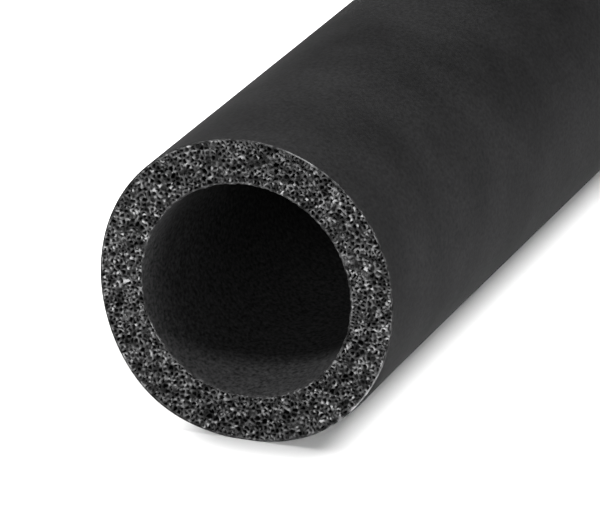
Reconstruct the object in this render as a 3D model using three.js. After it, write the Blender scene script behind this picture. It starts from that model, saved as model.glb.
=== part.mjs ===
// A straight length of tubular pipe lagging in closed-cell rubber foam, lying on its side.
// Units are millimetres and +Z is up. The tube runs along Y, and the origin is on the line
// where it rests on the floor, at the middle of its length.
import * as THREE from "three";

// Driving dimensions
const BORE_DIAMETER = 43; // goes over a 42 mm pipe with 0.5 mm to spare all round
const WALL = 9; // thickness of the foam, from the bore to the outer skin
const LENGTH = 1000; // one sold length, cut square at both ends
const FACETS = 48; // flats that stand for the round section

// Worked out from them
const BORE_RADIUS = BORE_DIAMETER / 2;
const OUTER_RADIUS = BORE_RADIUS + WALL;
const HALF_FACET = Math.PI / FACETS;
// The tube rests on the middle of a flat, which is this far below its axis.
const AXIS_HEIGHT = OUTER_RADIUS * Math.cos(HALF_FACET);

const FOAM = new THREE.MeshStandardMaterial({
  name: "foam_rubber",
  color: new THREE.Color(0.05, 0.05, 0.052),
  roughness: 0.72,
  metalness: 0,
});

// The wall's lengthwise section, which closes on itself, turned about the tube's own axis.
function tubeGeometry() {
  const wallSection = [
    new THREE.Vector2(BORE_RADIUS, -LENGTH / 2),
    new THREE.Vector2(OUTER_RADIUS, -LENGTH / 2),
    new THREE.Vector2(OUTER_RADIUS, LENGTH / 2),
    new THREE.Vector2(BORE_RADIUS, LENGTH / 2),
    new THREE.Vector2(BORE_RADIUS, -LENGTH / 2),
  ];
  return new THREE.LatheGeometry(wallSection, FACETS, HALF_FACET);
}

const foamTube = new THREE.Mesh(tubeGeometry(), FOAM);
foamTube.name = "foam_tube";
foamTube.position.z = AXIS_HEIGHT;

const pipeLagging = new THREE.Group();
pipeLagging.add(foamTube);

export default pipeLagging;
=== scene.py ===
import math

import bpy
import numpy as np
from mathutils import Matrix, Vector
from mathutils.geometry import delaunay_2d_cdt


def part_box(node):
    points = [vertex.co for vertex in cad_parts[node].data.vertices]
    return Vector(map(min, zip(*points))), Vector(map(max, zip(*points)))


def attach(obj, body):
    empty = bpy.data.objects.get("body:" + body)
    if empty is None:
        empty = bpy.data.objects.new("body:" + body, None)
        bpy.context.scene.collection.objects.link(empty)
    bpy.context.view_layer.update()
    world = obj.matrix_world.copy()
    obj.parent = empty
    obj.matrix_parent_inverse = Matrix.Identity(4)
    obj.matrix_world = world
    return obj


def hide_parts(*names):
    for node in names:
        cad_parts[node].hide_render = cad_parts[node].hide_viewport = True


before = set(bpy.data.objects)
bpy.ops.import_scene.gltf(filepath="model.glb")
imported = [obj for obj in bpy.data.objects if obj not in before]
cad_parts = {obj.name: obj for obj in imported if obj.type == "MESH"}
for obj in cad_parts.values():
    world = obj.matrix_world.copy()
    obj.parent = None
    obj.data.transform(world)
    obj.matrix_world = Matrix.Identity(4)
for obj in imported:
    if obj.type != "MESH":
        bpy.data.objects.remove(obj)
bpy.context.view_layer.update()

MM = 0.001
FULL_TURN = 2 * math.pi

# The tube, from the frame
LOW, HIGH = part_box("foam_tube")
HALF_LENGTH = (HIGH.y - LOW.y) / 2 / MM
AXIS_HEIGHT = (HIGH.z + LOW.z) / 2 / MM
OUTER = (HIGH.z - LOW.z) / 2 / MM
BORE_DIAMETER = 43
OUTER_DIAMETER = 61
BORE = OUTER * BORE_DIAMETER / OUTER_DIAMETER

# How the real tube differs from a true round one
BULGES = (  # angle and half width in degrees, then the share of the radius outside and in the bore
    (180, 32, -0.014, -0.006),
    (0, 32, -0.016, -0.006),
    (-126, 24, 0.026, 0.004),
    (-64, 18, 0.011, 0),
)
SWELL = 0.6  # how far the outside stands proud just behind a cut, which pinches it in
SWELL_ANGLE = -32
SWELL_SPREAD = 13
SWELL_FADE = 14  # how fast it sinks along the tube
SWELL_STAYS = 0.15  # share of it that goes on along the whole tube
PINCH = 0.9  # how near a cut the skins follow its edge
WAVES = 0.05  # how far the skins wander in and out along the length
CUT_WAVES = 0.10  # how far the knife wandered along the tube
CUT_REACH = 4  # how far behind a cut that is felt
RAGGED = 0.3  # how far the bore's cut edge wanders in and out
RAGGED_WIDTH = 1.2  # how far into the foam that is felt

# Skins and their edges at the cuts
OUTER_SKIN = 0.26
BORE_SKIN = 0.20
FOAM_INSIDE = BORE + BORE_SKIN
FOAM_OUTSIDE = OUTER - OUTER_SKIN
EDGE_ROUND = 0.12
ROUNDED = ((0.15, 0.5), (0.5, 0.15), (1, 0))  # steps of a rounded edge, across and back, in EDGE_ROUND
SKIN_LIP = 0.02  # how far behind the cut a skin ends at the foam
PLUG_DEPTH = 2.6  # how deep each cut end's own mesh goes
OUTER_TONE = 0.07  # usual tone of a skin's cut edge
BORE_TONE = 0.1
PAINTED_EDGE_HIGHLIGHTS = (  # painted highlights where light catches the outer cut edge: angle and half width in degrees, then the tone
    (-40, 15, 0.5),
    (69, 11, 0.3),
)

# Rings of points of the skins
SEGMENTS = 480
END_RINGS = (14, 5, 2, 0.8, 0.3)  # how far behind a cut they are
OUTER_RINGS = 84  # from the first of those to the last at the other end
BORE_RINGS = 54

# Cells
CELL_GAP = 0.94  # usual distance between the centres of neighbours
CELL_SIZES = (0.55, 1.45)  # smallest and largest share of it
CELL_SQUEEZE = 0.35  # how much smaller they are beside a skin
SQUEEZE_DEPTH = 0.9
CELL_MARGIN = 0.30  # how far the centres keep from the skins
SEED_TRIES = 26000
MIRROR_REACH = 2.2
SHORT_WALL = 0.13  # shorter walls are merged away
LONG_WALL = 0.34  # longer walls get a bend
WALL_BEND = 0.18  # the most that a bend lies aside, as a share of the wall's length
WALL_HALF = 0.17
WALL_SHARES = (0.4, 1.7)  # smallest and largest share of it
RIM_DEPTH = 0.03  # how far behind the cut the foam ends at the skins
SHALLOW_SHARE = 0.2
SHALLOW_DEPTHS = (0.15, 0.4)
DEEP_SHARES = (1.8, 3.6)  # depths of the other cells, in their own radius
DEEPEST = 0.72 * PLUG_DEPTH
WIDEST_MOUTH = 1.1  # in a cell's usual radius
NARROWEST_MOUTH = 0.35  # in the radius towards each corner
LEAN = 0.12  # how far the floor is off the middle, in the usual radius
SECTOR_PUSH = 0.10  # how much wider or narrower the hollow is in a sector
POINT_PUSH = 0.04  # the same at one point
MOST_PUSH = 0.06  # the widest that both make it, so that the walls stay closed
SECTOR_SINK = 0.25  # how much deeper or shallower it is in a sector
SIDE_TONE = 0.16  # how much paler the cells are at the sides of a cut than at its top and bottom
HIDDEN_TONE = 0.5  # of the plug's back

# Depths and tones that vary from point to point, each the shape and scale of a gamma distribution
CORNER_DEPTH = (1.3, 0.09)  # behind the cut
BEND_DEPTH = (1.3, 0.07)  # below the two corners beside it
# The long tails of the corner, bend and sector tones paint glints beside the walls' scuffed grey.
CORNER_TONE = (0.9, 0.2)
BEND_TONE = (0.7, 0.2)
SECTOR_PAINTED_LIGHT = (0.6, 0.25)
FLOOR_TONE = (0.8, 0.2)
EDGE_TONE = (0.9, 1)  # times the tones of the skins

# Camera, from how the photograph shows the near end. Its place is in outside radii.
FOCAL_PIXELS = 6065
PHOTO_WIDTH = 600
SENSOR = 36
AZIMUTH = 21.09
ELEVATION = 20.04
FACE_RIGHT = -0.3403
FACE_UP = -0.2077
FACE_AHEAD = 37.916

# Studio, in metres
LIT_POINT = Vector((0, -0.45, 0.03))  # just behind the near cut
FLOOR_HALF = 30
VIEW_END = 100


# Shape of the tube

def smooth_waves(rng, count, low, high):
    """Frequencies, phases and sizes of a few sine waves that add up to at most 1."""
    sizes = rng.uniform(0.5, 1.0, count)
    return rng.uniform(low, high, count), rng.uniform(0, FULL_TURN, count), sizes / sizes.sum()


WAVE_RNG = np.random.default_rng(seed=11)
# Along the tube, from 28 to 130 mm long, which also go 1 to 5 times round it
LENGTH_WAVES = smooth_waves(WAVE_RNG, 6, FULL_TURN / 130, FULL_TURN / 28)
TURN_WAVES = [int(n) for n in WAVE_RNG.integers(1, 6, 6)]
# Across a cut, from 9 to 45 mm long, each in its own direction
KNIFE_WAVES = smooth_waves(WAVE_RNG, 7, FULL_TURN / 45, FULL_TURN / 9)
KNIFE_TURNS = WAVE_RNG.uniform(0, math.pi, 7)
# Round the bore's cut edge, 18 to 109 times, so only phases and sizes are kept
RAGGED_WAVES = smooth_waves(WAVE_RNG, 12, 0, 1)[1:]
RAGGED_TURNS = [int(n) for n in WAVE_RNG.integers(18, 110, 12)]


def hump(angle, middle, half_width):
    """1 at the middle and next to nothing a few half widths away, both of them in degrees."""
    away = (np.degrees(angle) - middle + 180) % 360 - 180
    return np.exp(-((away / half_width) ** 2))


def skin_waves(y, angle):
    """From -1 to 1, how the skins wander along the length."""
    wave = np.zeros_like(y)
    for frequency, phase, size, turns in zip(*LENGTH_WAVES, TURN_WAVES):
        wave += size * np.sin(frequency * y + turns * angle + phase)
    return wave


def knife_waves(x, z):
    """From -1 to 1, how the knife wandered across the cut."""
    wave = np.zeros_like(x)
    for frequency, phase, size, turn in zip(*KNIFE_WAVES, KNIFE_TURNS):
        wave += size * np.sin(frequency * (x * math.cos(turn) + z * math.sin(turn)) + phase)
    return wave


def ragged_waves(angle):
    """From -1 to 1, how the bore's cut edge wanders."""
    wave = np.zeros_like(angle)
    for phase, size, turns in zip(*RAGGED_WAVES, RAGGED_TURNS):
        wave += size * np.sin(turns * angle + phase)
    return wave


def out_of_round(points):
    """The points of a true tube about the Y axis, moved to where the real one's are."""
    x, y, z = points.T
    angle, radius = np.arctan2(z, x), np.hypot(x, z)
    share = np.clip((radius - BORE) / (OUTER - BORE), 0, 1)
    from_end = HALF_LENGTH - np.abs(y)
    bulge = np.zeros_like(x)
    for middle, half_width, outside, inside in BULGES:
        bulge += hump(angle, middle, half_width) * (inside + (outside - inside) * share)
    scale = 1 + bulge - WAVES * (1 + skin_waves(y, angle)) / 2 / OUTER
    at_edge = np.clip(1 - from_end / PINCH, 0, 1) * np.clip(1 - (radius - BORE) / RAGGED_WIDTH, 0, 1)
    scale += at_edge * RAGGED * ragged_waves(angle) / radius
    fade = SWELL_STAYS + (1 - SWELL_STAYS) * np.exp(-from_end / SWELL_FADE)
    behind = (1 - np.exp(-from_end / PINCH)) * fade
    scale += SWELL * hump(angle, SWELL_ANGLE, SWELL_SPREAD) * behind * share / OUTER
    near_cut = np.clip(1 - from_end / CUT_REACH, 0, 1)
    moved_y = y - np.sign(y) * near_cut * CUT_WAVES * (1 + knife_waves(x, z)) / 2
    return np.column_stack([x * scale, moved_y, np.maximum(z * scale, -AXIS_HEIGHT)])


def make_piece(name, points, faces, tones, materials, surfaces=None):
    """A mesh from points about the tube's axis in millimetres, placed on the floor as the CAD tube is."""
    placed = out_of_round(np.asarray(points, float)) + (0, 0, AXIS_HEIGHT)
    mesh = bpy.data.meshes.new(name)
    mesh.from_pydata((placed * MM).tolist(), [], faces)
    mesh.shade_smooth()
    tone = mesh.attributes.new("tone", "FLOAT", "POINT")
    tone.data.foreach_set("value", np.asarray(tones, np.float32))
    for material in materials:
        mesh.materials.append(material)
    if surfaces is not None:
        mesh.polygons.foreach_set("material_index", surfaces)
    mesh.validate()
    piece = bpy.data.objects.new(name, mesh)
    bpy.context.scene.collection.objects.link(piece)
    return piece


def skin_edge(radius, inwards, thickness):
    """Radius and depth behind the cut along a skin, over its rounded edge and down into the recess."""
    along = [(radius, depth) for depth in END_RINGS]
    rounded = [
        (radius + inwards * across * EDGE_ROUND, back * EDGE_ROUND)
        for across, back in ROUNDED
    ]
    foam = radius + inwards * thickness
    return along + rounded + [(foam, SKIN_LIP), (foam, PLUG_DEPTH)]


def end_section():
    """Radius and depth behind the cut, from the bore to the outside, round the recess for the cells."""
    return skin_edge(BORE, 1, BORE_SKIN) + skin_edge(OUTER, -1, OUTER_SKIN)[::-1]


def tube_mesh(rng):
    """The whole tube with both skins, closed, with a recess at each end: points, faces, the points' tones
    and which of the outer skin, the bore's skin and the cut each face is."""
    near = [(r, -HALF_LENGTH + d) for r, d in end_section()]
    far = [(r, HALF_LENGTH - d) for r, d in reversed(end_section())]
    middle = HALF_LENGTH - END_RINGS[0]
    outer_run = [(OUTER, y) for y in np.linspace(-middle, middle, OUTER_RINGS)[1:-1]]
    bore_run = [(BORE, y) for y in np.linspace(middle, -middle, BORE_RINGS)[1:-1]]
    radius, along = np.array(near + outer_run + far + bore_run).T
    turn = np.arange(SEGMENTS) * FULL_TURN / SEGMENTS
    points = np.column_stack([
        np.outer(np.cos(turn), radius).ravel(),
        np.tile(along, SEGMENTS),
        np.outer(np.sin(turn), radius).ravel(),
    ])
    count = len(radius)
    i, j = np.meshgrid(np.arange(SEGMENTS), np.arange(count), indexing="ij")
    here, there = i * count, (i + 1) % SEGMENTS * count
    ahead = (j + 1) % count
    faces = np.stack([here + j, there + j, there + ahead, here + ahead], axis=-1).reshape(-1, 4)
    on_cut = HALF_LENGTH - np.abs(along) < EDGE_ROUND
    in_bore = radius < (BORE + OUTER) / 2
    surfaces = np.where(on_cut & np.roll(on_cut, -1), 2, np.where(in_bore, 1, 0))
    tones = np.tile(np.where(in_bore, BORE_TONE, OUTER_TONE), SEGMENTS)
    tones *= rng.gamma(*EDGE_TONE, len(points))
    # Painted highlights along the outer cut edge, where light catches it.
    for angle, half_width, tone in PAINTED_EDGE_HIGHLIGHTS:
        tones += np.outer(tone * hump(turn, angle, half_width), ~in_bore).ravel()
    return points, faces.tolist(), tones, np.tile(surfaces, SEGMENTS)


# Foam cells on a cut end

def neighbours(ring):
    """Each thing in a ring with the next one, and the last with the first."""
    return zip(ring, ring[1:] + ring[:1])


def spread_centres(rng):
    """Cell centres on the cut, at random but never too near each other, closer beside the skins."""
    inner, outer = FOAM_INSIDE + CELL_MARGIN, FOAM_OUTSIDE - CELL_MARGIN
    pitch = 1.0
    kept, grid = [], {}
    radii = np.sqrt(rng.uniform(inner**2, outer**2, SEED_TRIES))
    angles = rng.uniform(0, FULL_TURN, SEED_TRIES)
    sizes = rng.uniform(*CELL_SIZES, SEED_TRIES)
    for radius, angle, size in zip(radii, angles, sizes):
        to_skin = min(radius - inner, outer - radius)
        room = CELL_GAP * size * (1 - CELL_SQUEEZE * math.exp(-to_skin / SQUEEZE_DEPTH))
        x, z = radius * math.cos(angle), radius * math.sin(angle)
        column, row = int(x // pitch), int(z // pitch)
        around = [
            other
            for a in (column - 1, column, column + 1)
            for b in (row - 1, row, row + 1)
            for other in grid.get((a, b), ())
        ]
        if all((x - ox) ** 2 + (z - oz) ** 2 > ((room + oroom) / 2) ** 2 for ox, oz, oroom in around):
            grid.setdefault((column, row), []).append((x, z, room))
            kept.append((x, z))
    return np.array(kept)


def mirrored(centres, rim):
    """Copies of the centres near a rim, on its other side, so that the cells end along it."""
    radius = np.hypot(*centres.T)
    near = abs(radius - rim) < MIRROR_REACH
    scale = (2 * rim - radius[near]) / radius[near]
    return centres[near] * scale[:, None]


def circumcentres(a, b, c):
    """The point as far from a as from b and c, for arrays of points."""
    ab, ac = b - a, c - a
    cross = 2 * (ab[:, 0] * ac[:, 1] - ab[:, 1] * ac[:, 0])
    ab2, ac2 = (ab**2).sum(1), (ac**2).sum(1)
    x = (ac[:, 1] * ab2 - ab[:, 1] * ac2) / cross
    z = (ab[:, 0] * ac2 - ac[:, 0] * ab2) / cross
    return a + np.column_stack([x, z])


def merged_labels(count, pairs):
    """A number for each of count things, the same for those that the pairs join."""
    root = list(range(count))

    def find(i):
        while root[i] != i:
            root[i] = root[root[i]]
            i = root[i]
        return i

    for a, b in pairs:
        root[find(a)] = find(b)
    return np.unique([find(i) for i in range(count)], return_inverse=True)[1]


def short_walls(triangles, corners, used, count):
    """Pairs of triangles whose corners, the two ends of a wall of one of count cells, almost meet."""
    by_edge = {}
    for t in used:
        a, b, c = sorted(triangles[t])
        for edge in ((a, b), (b, c), (a, c)):
            if edge[0] < count:
                by_edge.setdefault(edge, []).append(t)
    return [
        ts for ts in by_edge.values()
        if len(ts) == 2 and np.hypot(*(corners[ts[0]] - corners[ts[1]])) < SHORT_WALL
    ]


def merged_corners(corners, label, used, on_rim):
    """The middle of the corners under each label, on the rim if one of them is there, and which are."""
    count = label.max() + 1
    total = np.zeros((count, 2))
    np.add.at(total, label[used], corners[used])
    points = total / np.maximum(np.bincount(label[used], minlength=count), 1)[:, None]
    rim = np.zeros(count, bool)
    rim[label[on_rim]] = True
    radius = np.hypot(*points[rim].T)
    target = np.where(radius < (FOAM_INSIDE + FOAM_OUTSIDE) / 2, FOAM_INSIDE, FOAM_OUTSIDE)
    points[rim] *= (target / radius)[:, None]
    return points, rim


def cell_rings(triangles, seeds, label, used, count):
    """The labels of the corners round each of the first count seeds, in order."""
    around = [[] for _ in range(count)]
    for t in used:
        for s in triangles[t]:
            if s < count:
                around[s].append(t)
    rings = []
    for s, ts in enumerate(around):
        middle = seeds[triangles[ts]].mean(1) - seeds[s]
        order = np.argsort(np.arctan2(middle[:, 1], middle[:, 0]))
        ring = [label[ts[k]] for k in order]
        ring = [a for a, b in neighbours(ring) if a != b]
        if len(ring) >= 3 and len(set(ring)) == len(ring):
            rings.append(ring)
    return rings


def cell_walls(rng):
    """Corners of the cells' walls, which of them lie on a rim, and each cell's corners in order."""
    centres = spread_centres(rng)
    count = len(centres)
    seeds = np.vstack([centres, mirrored(centres, FOAM_INSIDE), mirrored(centres, FOAM_OUTSIDE)])
    _, _, found, origins, _, _ = delaunay_2d_cdt([Vector(s) for s in seeds], [], [], 0, 1e-7)
    back = np.array([origin[0] for origin in origins])
    triangles = back[np.array(found)]
    corners = circumcentres(*(seeds[triangles[:, k]] for k in range(3)))
    real = triangles < count
    used = np.flatnonzero(real.any(1))
    on_rim = real.any(1) & ~real.all(1)
    label = merged_labels(len(triangles), short_walls(triangles, corners, used, count))
    points, rim = merged_corners(corners, label, used, on_rim)
    return points, rim, cell_rings(triangles, seeds, label, used, count)


class CutEnd:
    """The mesh of one cut end: ragged walls round open cells, on a plug that fills the tube's recess."""

    def __init__(self, rng):
        self.rng = rng
        corners, rim, cells = cell_walls(rng)
        self.places = [tuple(p) for p in corners]
        self.rim = list(rim)
        self.depths = list(np.where(rim, RIM_DEPTH, rng.gamma(*CORNER_DEPTH, len(corners))))
        self.tones = list(rng.gamma(*CORNER_TONE, len(corners)))
        self.faces = []
        self.bends = {}
        rings = [self.bent_ring(ring) for ring in cells]
        for ring in rings:
            self.open_cell(ring)
        turn = np.arctan2(*np.array(self.places).T[::-1])
        self.tones = list(np.array(self.tones) * (1 + SIDE_TONE * np.cos(2 * turn)))
        self.close_plug(rings)

    def add(self, place, depth, tone, on_rim=False):
        self.places.append(tuple(place))
        self.rim.append(on_rim)
        self.depths.append(depth)
        self.tones.append(tone)
        return len(self.places) - 1

    def bend(self, a, b):
        """The point in the middle of a wall that two cells share, or None for a short wall."""
        key = (min(a, b), max(a, b))
        if key not in self.bends:
            self.bends[key] = self.new_bend(*key)
        return self.bends[key]

    def new_bend(self, a, b):
        """A point on the rim between two others there, or one that lies a little aside of a long wall."""
        start, end = np.array(self.places[a]), np.array(self.places[b])
        run, middle = end - start, (start + end) / 2
        if self.rim[a] and self.rim[b]:
            radius = np.hypot(*middle)
            rim = min((FOAM_INSIDE, FOAM_OUTSIDE), key=lambda r: abs(r - radius))
            return self.add(middle * (rim / radius), RIM_DEPTH, self.rng.gamma(*BEND_TONE), on_rim=True)
        if math.hypot(*run) <= LONG_WALL:
            return None
        middle += np.array([-run[1], run[0]]) * self.rng.uniform(-WALL_BEND, WALL_BEND)
        depth = (self.depths[a] + self.depths[b]) / 2 + self.rng.gamma(*BEND_DEPTH)
        return self.add(middle, depth, self.rng.gamma(*BEND_TONE))

    def bent_ring(self, ring):
        whole = []
        for a, b in neighbours(ring):
            whole.append(a)
            middle = self.bend(a, b)
            if middle is not None:
                whole.append(middle)
        return whole

    def open_cell(self, ring):
        """One cell: from the top of its walls down a rounded, crumpled hollow to its floor, painted
        darker at each step down as shade, with sectors painted as lit or shaded facets.
        """
        rng = self.rng
        outline = np.array([self.places[i] for i in ring])
        top = np.array([self.depths[i] for i in ring])
        top_tone = np.array([self.tones[i] for i in ring])
        centre = outline.mean(0)
        arms = outline - centre
        reach = np.hypot(*arms.T)
        usual = reach.mean()
        shallow = rng.random() < SHALLOW_SHARE
        depth = rng.uniform(*SHALLOW_DEPTHS) if shallow else usual * rng.uniform(*DEEP_SHARES)
        depth = min(depth, DEEPEST)
        wall = WALL_HALF * rng.uniform(*WALL_SHARES, len(ring))
        mouth = np.minimum(reach, WIDEST_MOUTH * usual) - wall
        mouth = np.maximum(mouth, NARROWEST_MOUTH * reach)
        lean = rng.normal(0, LEAN, 2) * usual
        # A few sectors of the hollow each have their own width and depth, and a tone painted as though
        # lit or in shade, a few bright as glints.
        turn = np.arctan2(arms[:, 1], arms[:, 0])
        sectors = rng.integers(3, 6)
        sector = ((turn / FULL_TURN + rng.random()) * sectors).astype(int) % sectors
        painted_sector_light = rng.gamma(*SECTOR_PAINTED_LIGHT, sectors)[sector]
        side_push = rng.normal(0, SECTOR_PUSH, sectors)[sector]
        side_sink = rng.normal(0, SECTOR_SINK, sectors)[sector]
        levels = [  # share of the mouth and of the lean, depth below the walls, crumpling and tones, each step down painted darker as shade
            (1.0, 0.0, 0.06, 0.0, 0.8 * top_tone + 0.2 * painted_sector_light),
            (0.90, 0.25, 0.34 * depth, 0.7, 0.5 * painted_sector_light),
            (0.62, 0.8, 0.78 * depth, 1.0, 0.25 * painted_sector_light),
        ]
        loops = [ring]
        for share, slide, down, crumple, tones in levels:
            push = crumple * (side_push + rng.normal(0, POINT_PUSH, len(ring)))
            width = mouth * share * (1 + np.minimum(push, MOST_PUSH))
            places = centre + lean * slide + arms / reach[:, None] * width[:, None]
            depths = top + down * (1 + crumple * side_sink)
            loops.append([self.add(*point) for point in zip(places, depths, tones)])
        # A deep cell's floor is painted black as shade; a shallow one keeps a tone of its own.
        floor_tone_or_painted_shade = rng.gamma(*FLOOR_TONE) if shallow else 0.0
        floor = self.add(centre + lean, top.mean() + depth, floor_tone_or_painted_shade)
        for upper, lower in zip(loops, loops[1:]):
            self.wall_between(upper, lower)
        for a, b in neighbours(loops[-1]):
            self.faces.append((a, b, floor))

    def wall_between(self, upper, lower):
        """Four-sided faces from one ring down to another with as many points."""
        for (a, b), (c, d) in zip(neighbours(upper), neighbours(lower)):
            self.faces.append((a, b, d, c))

    def close_plug(self, rings):
        """The hidden sides and back of the plug, from the cells' two open borders."""
        edges = [edge for ring in rings for edge in neighbours(ring)]
        known = set(edges)
        borders = {a: b for a, b in edges if (b, a) not in known}
        backs = []
        while borders:
            start, following = borders.popitem()
            border = [start]
            while following != start:
                border.append(following)
                following = borders.pop(following)
            border.reverse()
            back = [self.add(self.places[i], PLUG_DEPTH, HIDDEN_TONE) for i in border]
            self.wall_between(border, back)
            backs.append(back)
        self.close_back(*backs)

    def by_angle(self, ring):
        """A ring's points in the order of their angles about the axis, and those angles."""
        angles = {i: math.atan2(self.places[i][1], self.places[i][0]) for i in ring}
        ordered = sorted(ring, key=angles.get)
        return ordered, [angles[i] for i in ordered]

    def close_back(self, *backs):
        """Triangles between the plug's two back rings, stepping along whichever is behind in angle."""
        inside, outside = sorted(backs, key=lambda ring: math.hypot(*self.places[ring[0]]))
        (inside, ai), (outside, ao) = self.by_angle(inside), self.by_angle(outside)
        ni, no, i, o = len(inside), len(outside), 0, 0
        while i < ni or o < no:
            next_i = ai[(i + 1) % ni] + FULL_TURN * ((i + 1) // ni)
            next_o = ao[(o + 1) % no] + FULL_TURN * ((o + 1) // no)
            if o >= no or (i < ni and next_i < next_o):
                self.faces.append((inside[i % ni], inside[(i + 1) % ni], outside[o % no]))
                i += 1
            else:
                self.faces.append((inside[i % ni], outside[(o + 1) % no], outside[o % no]))
                o += 1

    def mesh(self, near):
        """Points about the tube's axis, faces and tones, for the near end or for the far one."""
        flat = np.array(self.places)
        side = -1 if near else 1
        points = np.column_stack([
            -side * flat[:, 0],
            side * (HALF_LENGTH - np.array(self.depths)),
            flat[:, 1],
        ])
        return points, self.faces, self.tones


# Materials

class Recipe:
    """A new material with one Principled shader, and short ways to add what feeds it."""

    def __init__(self, name):
        self.material = bpy.data.materials.new(name)
        self.material.use_nodes = True
        self.tree = self.material.node_tree
        self.shader = self.tree.nodes["Principled BSDF"]
        self.place = self.tree.nodes.new("ShaderNodeTexCoord").outputs["Object"]

    def node(self, kind, **inputs):
        """A node whose inputs, by name with _ for a space, are set to values or linked to outputs."""
        made = self.tree.nodes.new(kind)
        for name, value in inputs.items():
            self.feed(made.inputs[name.replace("_", " ")], value)
        return made

    def feed(self, socket, value):
        """The socket linked to another node's output, or set to a plain value."""
        if isinstance(value, bpy.types.NodeSocket):
            self.tree.links.new(value, socket)
        else:
            socket.default_value = value

    def noise(self, scale, detail, roughness=0.5, squeeze=(1, 1, 1)):
        """Noise with about scale lumps to the metre, times what squeeze says for each axis."""
        squeezed = self.node("ShaderNodeMapping", Vector=self.place, Scale=squeeze)
        node = self.node("ShaderNodeTexNoise", Scale=scale, Detail=detail, Roughness=roughness)
        self.feed(node.inputs["Vector"], squeezed.outputs["Vector"])
        return node.outputs["Fac"]

    def spread(self, value, low, high, from_low=0.3, from_high=0.7):
        """The value, moved from one range to another and kept within it."""
        node = self.node(
            "ShaderNodeMapRange", Value=value,
            From_Min=from_low, From_Max=from_high, To_Min=low, To_Max=high,
        )
        return node.outputs["Result"]

    def product(self, one, other):
        node = self.node("ShaderNodeMath")
        node.operation = "MULTIPLY"
        self.feed(node.inputs[0], one)
        self.feed(node.inputs[1], other)
        return node.outputs["Value"]

    def mix(self, share, dark, light):
        """A colour between the dark one and the light one, from the node's sockets for colours."""
        node = self.node("ShaderNodeMix")
        node.data_type = "RGBA"
        for index, value in ((0, share), (6, (*dark, 1)), (7, (*light, 1))):
            self.feed(node.inputs[index], value)
        return node.outputs[2]

    def bump(self, height, strength, distance, under=None):
        node = self.node("ShaderNodeBump", Height=height, Strength=strength, Distance=distance)
        if under is not None:
            self.feed(node.inputs["Normal"], under)
        return node.outputs["Normal"]

    def finish(self, colour, normal, roughness, specular):
        self.feed(self.shader.inputs["Base Color"], colour)
        self.feed(self.shader.inputs["Normal"], normal)
        self.feed(self.shader.inputs["Roughness"], roughness)
        self.feed(self.shader.inputs["Specular IOR Level"], specular)
        return self.material


def skin_material(name, tone, patchy, grainy, relief):
    """Dull skin of about one grey tone: soft patches lighter and darker, and a fine leathery grain."""
    recipe = Recipe(name)
    lumps = recipe.noise(45, detail=2)
    patches = recipe.spread(lumps, 1 - patchy, 1 + patchy, from_low=0.35, from_high=0.65)
    grain = recipe.noise(1400, detail=3, roughness=0.6, squeeze=(1, 0.7, 1))
    flecks = recipe.spread(grain, (1 - grainy) / 2, (1 + grainy) / 2)
    shade = recipe.product(patches, flecks)
    colour = recipe.mix(shade, (0, 0, 0), (2 * tone, 2 * tone, 2.04 * tone))
    ripples = recipe.noise(130, detail=2, squeeze=(1, 0.5, 1))
    rippled = recipe.bump(ripples, strength=0.25, distance=0.0006)
    normal = recipe.bump(grain, strength=1.0, distance=relief, under=rippled)
    return recipe.finish(colour, normal, roughness=0.8, specular=0.04)


def cut_material(name, dark, light):
    """Cut foam: wall edges scuffed grey by the knife, with painted glints, over hollows painted darker as
    shade, a little shinier in spots.
    """
    recipe = Recipe(name)
    tone = recipe.node("ShaderNodeAttribute")
    tone.attribute_name = "tone"
    mottled = recipe.spread(recipe.noise(560, detail=1), 0.1, 1.9, from_low=0.35, from_high=0.65)
    colour = recipe.mix(recipe.product(tone.outputs["Fac"], mottled), dark, light)
    roughness = recipe.spread(recipe.noise(1500, detail=2), 0.28, 0.55)
    rough_skin = recipe.noise(6000, detail=3, roughness=0.6)
    normal = recipe.bump(rough_skin, strength=0.4, distance=0.00004)
    return recipe.finish(colour, normal, roughness, specular=0.1)


# Building the pieces

def settled(piece):
    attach(piece, "root")
    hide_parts("foam_tube")
    return piece


outer_skin = skin_material("outer_skin", tone=0.0121, patchy=0.2, grainy=0.3, relief=0.00003)
bore_skin = skin_material("bore_skin", tone=0.0285, patchy=0.1, grainy=0.7, relief=0.0001)
# The light colour is partly the scuffed grey of the cut walls and partly painted glints; the dark one is
# painted shade deep in the cells.
cut = cut_material("foam_cut", dark=(0.0008, 0.0008, 0.0008), light=(0.295, 0.295, 0.298))
*tube, surfaces = tube_mesh(np.random.default_rng(seed=5))
pieces = [settled(make_piece("tube_skin", *tube, [outer_skin, bore_skin, cut], surfaces))]
for name, seed, near in (("near_cut_end", 3, True), ("far_cut_end", 4, False)):
    end = CutEnd(np.random.default_rng(seed))
    pieces.append(settled(make_piece(name, *end.mesh(near), [cut])))


# Studio

def studio_floor():
    half = FLOOR_HALF
    mesh = bpy.data.meshes.new("studio_floor")
    corners = [(-half, -half, 0), (half, -half, 0), (half, half, 0), (-half, half, 0)]
    mesh.from_pydata(corners, [], [(0, 1, 2, 3)])
    material = bpy.data.materials.new("studio_white")
    material.use_nodes = True
    shader = material.node_tree.nodes["Principled BSDF"]
    shader.inputs["Base Color"].default_value = (0.9, 0.9, 0.9, 1)
    shader.inputs["Roughness"].default_value = 0.9
    shader.inputs["Specular IOR Level"].default_value = 0.1
    mesh.materials.append(material)
    floor = bpy.data.objects.new("studio_floor", mesh)
    bpy.context.scene.collection.objects.link(floor)
    return floor


def gathered(name, objects):
    """A collection that a light can be kept to."""
    group = bpy.data.collections.new(name)
    for one in objects:
        group.objects.link(one)
    return group


on_floor = gathered("on_floor", [studio_floor()])
on_tube = gathered("on_tube", pieces)


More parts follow.
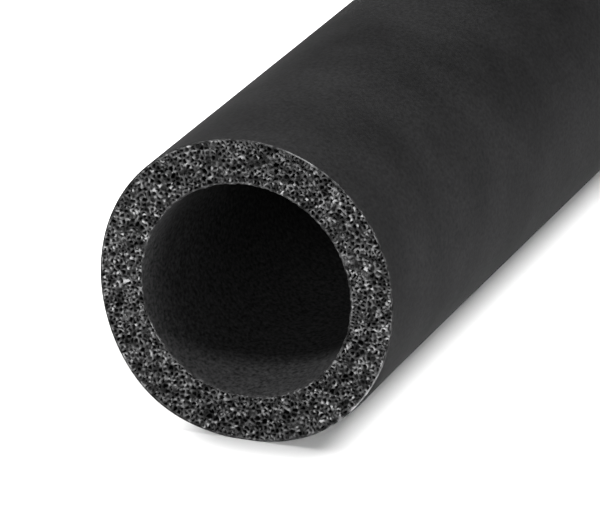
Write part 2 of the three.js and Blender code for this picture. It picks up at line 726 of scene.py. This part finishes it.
def soft_box(name, lit, lean, turn, distance, size, watts):
    """A square light on what is lit, aimed just behind the near cut. It leans from straight above there
    towards turn degrees from the front. Only the tube casts shadows, so that a light from below the
    floor can stand for what the floor throws back."""
    light = bpy.data.lights.new(name, "AREA")
    light.shape = "SQUARE"
    light.size = size
    light.energy = watts
    box = bpy.data.objects.new(name, light)
    lean, turn = math.radians(lean), math.radians(turn)
    away = Vector((math.sin(lean) * math.sin(turn), -math.sin(lean) * math.cos(turn), math.cos(lean)))
    box.location = LIT_POINT + away * distance
    box.rotation_mode = "QUATERNION"
    box.rotation_quaternion = away.to_track_quat("Z", "Y")
    box.visible_camera = False
    box.light_linking.receiver_collection = lit
    box.light_linking.blocker_collection = on_tube
    bpy.context.scene.collection.objects.link(box)


def studio_world(strength):
    world = bpy.data.worlds.new("studio_air")
    world.use_nodes = True
    background = world.node_tree.nodes["Background"]
    background.inputs["Color"].default_value = (1, 1, 1, 1)
    background.inputs["Strength"].default_value = strength
    bpy.context.scene.world = world


def photo_camera():
    """The camera, placed from where the photograph shows the near end's middle."""
    a, e = math.radians(AZIMUTH), math.radians(ELEVATION)
    right = Vector((math.cos(a), math.sin(a), 0))
    up = Vector((-math.sin(a) * math.sin(e), math.cos(a) * math.sin(e), math.cos(e)))
    back = Vector((math.sin(a) * math.cos(e), -math.cos(a) * math.cos(e), math.sin(e)))
    face = Vector((0, -HALF_LENGTH, AXIS_HEIGHT)) * MM
    shift = right * FACE_RIGHT + up * FACE_UP - back * FACE_AHEAD
    data = bpy.data.cameras.new("photo_camera")
    data.sensor_width = SENSOR
    data.lens = FOCAL_PIXELS / PHOTO_WIDTH * SENSOR
    data.clip_end = VIEW_END
    camera = bpy.data.objects.new("photo_camera", data)
    turn = Matrix((right, up, back)).transposed().to_4x4()
    camera.matrix_world = Matrix.Translation(face - shift * OUTER * MM) @ turn
    bpy.context.scene.collection.objects.link(camera)
    bpy.context.scene.camera = camera


studio_world(0.20)
soft_box("floor_right", on_floor, lean=31, turn=98, distance=4.0, size=1.5, watts=188)
soft_box("floor_left", on_floor, lean=62, turn=240, distance=4.0, size=3.0, watts=395)
soft_box("floor_front", on_floor, lean=75, turn=25, distance=4.0, size=1.75, watts=172)
soft_box("tube_front", on_tube, lean=75, turn=0, distance=1.6, size=0.7, watts=14.6)
soft_box("tube_left", on_tube, lean=38, turn=318, distance=1.6, size=0.35, watts=26)
soft_box("tube_low", on_tube, lean=120, turn=78, distance=0.3, size=0.15, watts=1.1)
soft_box("tube_right", on_tube, lean=60, turn=75, distance=0.25, size=0.12, watts=0.18)
soft_box("tube_above", on_tube, lean=10, turn=300, distance=0.25, size=0.12, watts=0.64)
photo_camera()
bpy.context.scene.view_settings.view_transform = "Standard"
